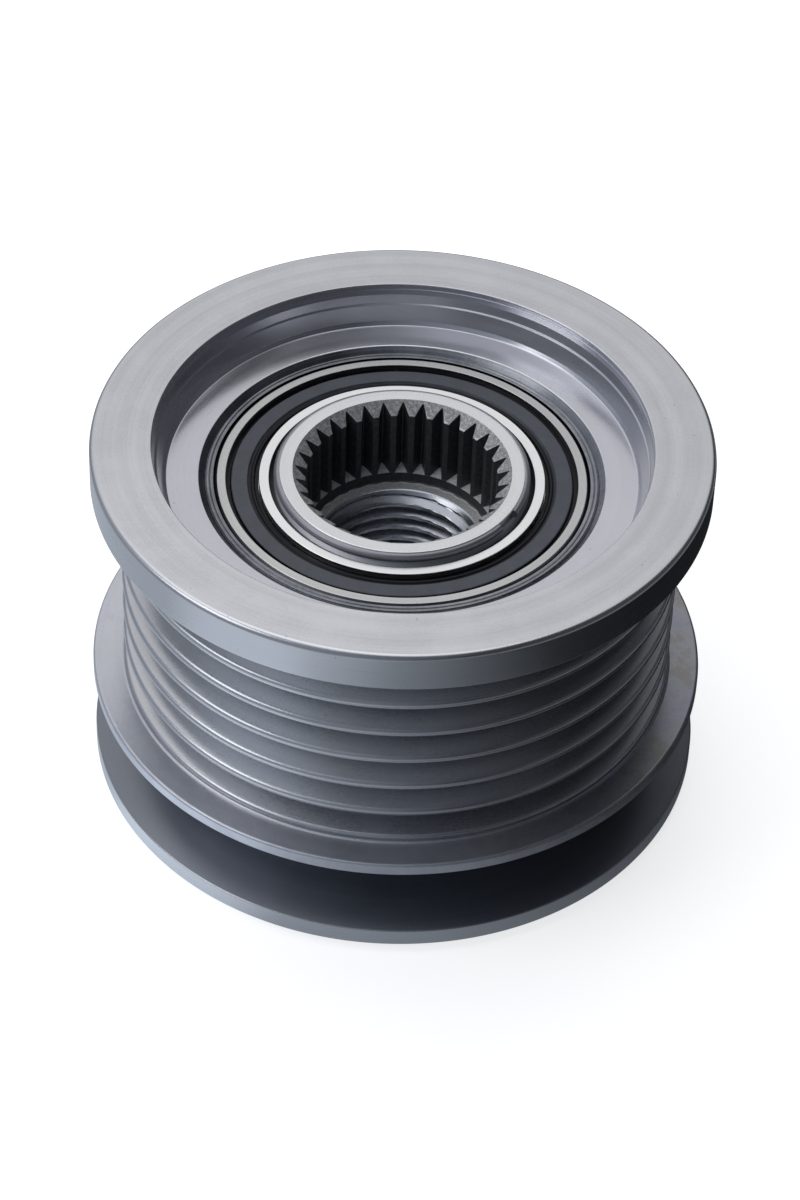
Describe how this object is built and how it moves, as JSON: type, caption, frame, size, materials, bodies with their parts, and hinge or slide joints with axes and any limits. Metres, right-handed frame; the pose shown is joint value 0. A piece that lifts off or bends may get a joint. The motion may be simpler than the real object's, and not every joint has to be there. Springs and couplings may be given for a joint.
{
  "type": "alternator pulley",
  "caption": "Overrunning alternator pulley: a V-ribbed belt pulley on sealed ball bearings and a one-way roller clutch, with a splined and threaded hub.",
  "frame": {"origin": "centre of the hub's rear seating face, which the part stands on", "axes": "+Z along the axis towards the front rim and the hub's nose"},
  "size_m": [0.0612, 0.0612, 0.0396],
  "materials": {
    "pulley_steel": "turned, bare",
    "hub_steel": "turned and broached",
    "bearing_steel": "ground",
    "ball_steel": "polished",
    "spring_steel": "drawn",
    "seal_rubber": "moulded, slate grey",
    "cage_plastic": "moulded"
  },
  "bodies": {
    "hub_set": {"hub": "hub_steel", "hub_snap_ring": "spring_steel", "front_inner_ring": "bearing_steel", "rear_inner_ring": "bearing_steel", "clutch_cam_ring": "bearing_steel", "clutch_cage": "cage_plastic", "clutch_spring_1": "spring_steel", "clutch_spring_2": "spring_steel", "clutch_spring_3": "spring_steel", "clutch_spring_4": "spring_steel", "clutch_spring_5": "spring_steel", "clutch_spring_6": "spring_steel", "clutch_spring_7": "spring_steel", "clutch_spring_8": "spring_steel"},
    "pulley_set": {"pulley_body": "pulley_steel", "front_outer_ring": "bearing_steel", "rear_outer_ring": "bearing_steel", "front_outer_seal": "seal_rubber", "front_inner_seal": "seal_rubber", "rear_outer_seal": "seal_rubber", "rear_inner_seal": "seal_rubber", "clutch_sleeve": "bearing_steel"},
    "front_cage_set": {"front_ball_cage": "cage_plastic"},
    "front_ball_1": {"front_ball_1": "ball_steel"},
    "front_ball_2": {"front_ball_2": "ball_steel"},
    "front_ball_3": {"front_ball_3": "ball_steel"},
    "front_ball_4": {"front_ball_4": "ball_steel"},
    "front_ball_5": {"front_ball_5": "ball_steel"},
    "front_ball_6": {"front_ball_6": "ball_steel"},
    "front_ball_7": {"front_ball_7": "ball_steel"},
    "front_ball_8": {"front_ball_8": "ball_steel"},
    "front_ball_9": {"front_ball_9": "ball_steel"},
    "front_ball_10": {"front_ball_10": "ball_steel"},
    "front_ball_11": {"front_ball_11": "ball_steel"},
    "front_ball_12": {"front_ball_12": "ball_steel"},
    "front_ball_13": {"front_ball_13": "ball_steel"},
    "front_ball_14": {"front_ball_14": "ball_steel"},
    "rear_cage_set": {"rear_ball_cage": "cage_plastic"},
    "rear_ball_1": {"rear_ball_1": "ball_steel"},
    "rear_ball_2": {"rear_ball_2": "ball_steel"},
    "rear_ball_3": {"rear_ball_3": "ball_steel"},
    "rear_ball_4": {"rear_ball_4": "ball_steel"},
    "rear_ball_5": {"rear_ball_5": "ball_steel"},
    "rear_ball_6": {"rear_ball_6": "ball_steel"},
    "rear_ball_7": {"rear_ball_7": "ball_steel"},
    "rear_ball_8": {"rear_ball_8": "ball_steel"},
    "rear_ball_9": {"rear_ball_9": "ball_steel"},
    "rear_ball_10": {"rear_ball_10": "ball_steel"},
    "rear_ball_11": {"rear_ball_11": "ball_steel"},
    "rear_ball_12": {"rear_ball_12": "ball_steel"},
    "rear_ball_13": {"rear_ball_13": "ball_steel"},
    "rear_ball_14": {"rear_ball_14": "ball_steel"},
    "clutch_roller_1": {"clutch_roller_1": "ball_steel"},
    "clutch_roller_2": {"clutch_roller_2": "ball_steel"},
    "clutch_roller_3": {"clutch_roller_3": "ball_steel"},
    "clutch_roller_4": {"clutch_roller_4": "ball_steel"},
    "clutch_roller_5": {"clutch_roller_5": "ball_steel"},
    "clutch_roller_6": {"clutch_roller_6": "ball_steel"},
    "clutch_roller_7": {"clutch_roller_7": "ball_steel"},
    "clutch_roller_8": {"clutch_roller_8": "ball_steel"}
  },
  "joints": [
    {"name": "pulley_overrun", "type": "hinge", "parent": "hub_set", "child": "pulley_set", "pos_m": [0, 0, 0.02], "axis": [0, 0, 1], "range_deg": [0, 3690]},
    {"name": "front_cage_turn", "type": "hinge", "parent": "hub_set", "child": "front_cage_set", "pos_m": [0, 0, 0.03139], "axis": [0, 0, 1], "range_deg": [0, 2054.31]},
    {"name": "front_ball_1_spin", "type": "hinge", "parent": "front_cage_set", "child": "front_ball_1", "pos_m": [0.01396, 0.00673, 0.03139], "axis": [0, 0, 1], "range_deg": [0, 16134.12]},
    {"name": "front_ball_2_spin", "type": "hinge", "parent": "front_cage_set", "child": "front_ball_2", "pos_m": [0.00966, 0.01212, 0.03139], "axis": [0, 0, 1], "range_deg": [0, 16134.12]},
    {"name": "front_ball_3_spin", "type": "hinge", "parent": "front_cage_set", "child": "front_ball_3", "pos_m": [0.00345, 0.01511, 0.03139], "axis": [0, 0, 1], "range_deg": [0, 16134.12]},
    {"name": "front_ball_4_spin", "type": "hinge", "parent": "front_cage_set", "child": "front_ball_4", "pos_m": [-0.00345, 0.01511, 0.03139], "axis": [0, 0, 1], "range_deg": [0, 16134.12]},
    {"name": "front_ball_5_spin", "type": "hinge", "parent": "front_cage_set", "child": "front_ball_5", "pos_m": [-0.00966, 0.01212, 0.03139], "axis": [0, 0, 1], "range_deg": [0, 16134.12]},
    {"name": "front_ball_6_spin", "type": "hinge", "parent": "front_cage_set", "child": "front_ball_6", "pos_m": [-0.01396, 0.00673, 0.03139], "axis": [0, 0, 1], "range_deg": [0, 16134.12]},
    {"name": "front_ball_7_spin", "type": "hinge", "parent": "front_cage_set", "child": "front_ball_7", "pos_m": [-0.0155, 0, 0.03139], "axis": [0, 0, 1], "range_deg": [0, 16134.12]},
    {"name": "front_ball_8_spin", "type": "hinge", "parent": "front_cage_set", "child": "front_ball_8", "pos_m": [-0.01396, -0.00673, 0.03139], "axis": [0, 0, 1], "range_deg": [0, 16134.12]},
    {"name": "front_ball_9_spin", "type": "hinge", "parent": "front_cage_set", "child": "front_ball_9", "pos_m": [-0.00966, -0.01212, 0.03139], "axis": [0, 0, 1], "range_deg": [0, 16134.12]},
    {"name": "front_ball_10_spin", "type": "hinge", "parent": "front_cage_set", "child": "front_ball_10", "pos_m": [-0.00345, -0.01511, 0.03139], "axis": [0, 0, 1], "range_deg": [0, 16134.12]},
    {"name": "front_ball_11_spin", "type": "hinge", "parent": "front_cage_set", "child": "front_ball_11", "pos_m": [0.00345, -0.01511, 0.03139], "axis": [0, 0, 1], "range_deg": [0, 16134.12]},
    {"name": "front_ball_12_spin", "type": "hinge", "parent": "front_cage_set", "child": "front_ball_12", "pos_m": [0.00966, -0.01212, 0.03139], "axis": [0, 0, 1], "range_deg": [0, 16134.12]},
    {"name": "front_ball_13_spin", "type": "hinge", "parent": "front_cage_set", "child": "front_ball_13", "pos_m": [0.01396, -0.00673, 0.03139], "axis": [0, 0, 1], "range_deg": [0, 16134.12]},
    {"name": "front_ball_14_spin", "type": "hinge", "parent": "front_cage_set", "child": "front_ball_14", "pos_m": [0.0155, 0, 0.03139], "axis": [0, 0, 1], "range_deg": [0, 16134.12]},
    {"name": "rear_cage_turn", "type": "hinge", "parent": "hub_set", "child": "rear_cage_set", "pos_m": [0, 0, 0.007], "axis": [0, 0, 1], "range_deg": [0, 2054.31]},
    {"name": "rear_ball_1_spin", "type": "hinge", "parent": "rear_cage_set", "child": "rear_ball_1", "pos_m": [0.01396, 0.00673, 0.007], "axis": [0, 0, 1], "range_deg": [0, 16134.12]},
    {"name": "rear_ball_2_spin", "type": "hinge", "parent": "rear_cage_set", "child": "rear_ball_2", "pos_m": [0.00966, 0.01212, 0.007], "axis": [0, 0, 1], "range_deg": [0, 16134.12]},
    {"name": "rear_ball_3_spin", "type": "hinge", "parent": "rear_cage_set", "child": "rear_ball_3", "pos_m": [0.00345, 0.01511, 0.007], "axis": [0, 0, 1], "range_deg": [0, 16134.12]},
    {"name": "rear_ball_4_spin", "type": "hinge", "parent": "rear_cage_set", "child": "rear_ball_4", "pos_m": [-0.00345, 0.01511, 0.007], "axis": [0, 0, 1], "range_deg": [0, 16134.12]},
    {"name": "rear_ball_5_spin", "type": "hinge", "parent": "rear_cage_set", "child": "rear_ball_5", "pos_m": [-0.00966, 0.01212, 0.007], "axis": [0, 0, 1], "range_deg": [0, 16134.12]},
    {"name": "rear_ball_6_spin", "type": "hinge", "parent": "rear_cage_set", "child": "rear_ball_6", "pos_m": [-0.01396, 0.00673, 0.007], "axis": [0, 0, 1], "range_deg": [0, 16134.12]},
    {"name": "rear_ball_7_spin", "type": "hinge", "parent": "rear_cage_set", "child": "rear_ball_7", "pos_m": [-0.0155, 0, 0.007], "axis": [0, 0, 1], "range_deg": [0, 16134.12]},
    {"name": "rear_ball_8_spin", "type": "hinge", "parent": "rear_cage_set", "child": "rear_ball_8", "pos_m": [-0.01396, -0.00673, 0.007], "axis": [0, 0, 1], "range_deg": [0, 16134.12]},
    {"name": "rear_ball_9_spin", "type": "hinge", "parent": "rear_cage_set", "child": "rear_ball_9", "pos_m": [-0.00966, -0.01212, 0.007], "axis": [0, 0, 1], "range_deg": [0, 16134.12]},
    {"name": "rear_ball_10_spin", "type": "hinge", "parent": "rear_cage_set", "child": "rear_ball_10", "pos_m": [-0.00345, -0.01511, 0.007], "axis": [0, 0, 1], "range_deg": [0, 16134.12]},
    {"name": "rear_ball_11_spin", "type": "hinge", "parent": "rear_cage_set", "child": "rear_ball_11", "pos_m": [0.00345, -0.01511, 0.007], "axis": [0, 0, 1], "range_deg": [0, 16134.12]},
    {"name": "rear_ball_12_spin", "type": "hinge", "parent": "rear_cage_set", "child": "rear_ball_12", "pos_m": [0.00966, -0.01212, 0.007], "axis": [0, 0, 1], "range_deg": [0, 16134.12]},
    {"name": "rear_ball_13_spin", "type": "hinge", "parent": "rear_cage_set", "child": "rear_ball_13", "pos_m": [0.01396, -0.00673, 0.007], "axis": [0, 0, 1], "range_deg": [0, 16134.12]},
    {"name": "rear_ball_14_spin", "type": "hinge", "parent": "rear_cage_set", "child": "rear_ball_14", "pos_m": [0.0155, 0, 0.007], "axis": [0, 0, 1], "range_deg": [0, 16134.12]},
    {"name": "clutch_roller_1_spin", "type": "hinge", "parent": "hub_set", "child": "clutch_roller_1", "pos_m": [0.01153, 0.00967, 0.0197], "axis": [0, 0, 1], "range_deg": [0, 40837]},
    {"name": "clutch_roller_2_spin", "type": "hinge", "parent": "hub_set", "child": "clutch_roller_2", "pos_m": [0.00131, 0.01499, 0.0197], "axis": [0, 0, 1], "range_deg": [0, 40837]},
    {"name": "clutch_roller_3_spin", "type": "hinge", "parent": "hub_set", "child": "clutch_roller_3", "pos_m": [-0.00967, 0.01153, 0.0197], "axis": [0, 0, 1], "range_deg": [0, 40837]},
    {"name": "clutch_roller_4_spin", "type": "hinge", "parent": "hub_set", "child": "clutch_roller_4", "pos_m": [-0.01499, 0.00131, 0.0197], "axis": [0, 0, 1], "range_deg": [0, 40837]},
    {"name": "clutch_roller_5_spin", "type": "hinge", "parent": "hub_set", "child": "clutch_roller_5", "pos_m": [-0.01153, -0.00967, 0.0197], "axis": [0, 0, 1], "range_deg": [0, 40837]},
    {"name": "clutch_roller_6_spin", "type": "hinge", "parent": "hub_set", "child": "clutch_roller_6", "pos_m": [-0.00131, -0.01499, 0.0197], "axis": [0, 0, 1], "range_deg": [0, 40837]},
    {"name": "clutch_roller_7_spin", "type": "hinge", "parent": "hub_set", "child": "clutch_roller_7", "pos_m": [0.00967, -0.01153, 0.0197], "axis": [0, 0, 1], "range_deg": [0, 40837]},
    {"name": "clutch_roller_8_spin", "type": "hinge", "parent": "hub_set", "child": "clutch_roller_8", "pos_m": [0.01499, -0.00131, 0.0197], "axis": [0, 0, 1], "range_deg": [0, 40837]}
  ],
  "couplings": [
    {"joint": "front_cage_turn", "follows": "pulley_overrun", "ratio": 0.55645},
    {"joint": "front_ball_1_spin", "follows": "pulley_overrun", "ratio": 4.3721},
    {"joint": "front_ball_2_spin", "follows": "pulley_overrun", "ratio": 4.3721},
    {"joint": "front_ball_3_spin", "follows": "pulley_overrun", "ratio": 4.3721},
    {"joint": "front_ball_4_spin", "follows": "pulley_overrun", "ratio": 4.3721},
    {"joint": "front_ball_5_spin", "follows": "pulley_overrun", "ratio": 4.3721},
    {"joint": "front_ball_6_spin", "follows": "pulley_overrun", "ratio": 4.3721},
    {"joint": "front_ball_7_spin", "follows": "pulley_overrun", "ratio": 4.3721},
    {"joint": "front_ball_8_spin", "follows": "pulley_overrun", "ratio": 4.3721},
    {"joint": "front_ball_9_spin", "follows": "pulley_overrun", "ratio": 4.3721},
    {"joint": "front_ball_10_spin", "follows": "pulley_overrun", "ratio": 4.3721},
    {"joint": "front_ball_11_spin", "follows": "pulley_overrun", "ratio": 4.3721},
    {"joint": "front_ball_12_spin", "follows": "pulley_overrun", "ratio": 4.3721},
    {"joint": "front_ball_13_spin", "follows": "pulley_overrun", "ratio": 4.3721},
    {"joint": "front_ball_14_spin", "follows": "pulley_overrun", "ratio": 4.3721},
    {"joint": "rear_cage_turn", "follows": "pulley_overrun", "ratio": 0.55645},
    {"joint": "rear_ball_1_spin", "follows": "pulley_overrun", "ratio": 4.3721},
    {"joint": "rear_ball_2_spin", "follows": "pulley_overrun", "ratio": 4.3721},
    {"joint": "rear_ball_3_spin", "follows": "pulley_overrun", "ratio": 4.3721},
    {"joint": "rear_ball_4_spin", "follows": "pulley_overrun", "ratio": 4.3721},
    {"joint": "rear_ball_5_spin", "follows": "pulley_overrun", "ratio": 4.3721},
    {"joint": "rear_ball_6_spin", "follows": "pulley_overrun", "ratio": 4.3721},
    {"joint": "rear_ball_7_spin", "follows": "pulley_overrun", "ratio": 4.3721},
    {"joint": "rear_ball_8_spin", "follows": "pulley_overrun", "ratio": 4.3721},
    {"joint": "rear_ball_9_spin", "follows": "pulley_overrun", "ratio": 4.3721},
    {"joint": "rear_ball_10_spin", "follows": "pulley_overrun", "ratio": 4.3721},
    {"joint": "rear_ball_11_spin", "follows": "pulley_overrun", "ratio": 4.3721},
    {"joint": "rear_ball_12_spin", "follows": "pulley_overrun", "ratio": 4.3721},
    {"joint": "rear_ball_13_spin", "follows": "pulley_overrun", "ratio": 4.3721},
    {"joint": "rear_ball_14_spin", "follows": "pulley_overrun", "ratio": 4.3721},
    {"joint": "clutch_roller_1_spin", "follows": "pulley_overrun", "ratio": 11.067},
    {"joint": "clutch_roller_2_spin", "follows": "pulley_overrun", "ratio": 11.067},
    {"joint": "clutch_roller_3_spin", "follows": "pulley_overrun", "ratio": 11.067},
    {"joint": "clutch_roller_4_spin", "follows": "pulley_overrun", "ratio": 11.067},
    {"joint": "clutch_roller_5_spin", "follows": "pulley_overrun", "ratio": 11.067},
    {"joint": "clutch_roller_6_spin", "follows": "pulley_overrun", "ratio": 11.067},
    {"joint": "clutch_roller_7_spin", "follows": "pulley_overrun", "ratio": 11.067},
    {"joint": "clutch_roller_8_spin", "follows": "pulley_overrun", "ratio": 11.067}
  ]
}
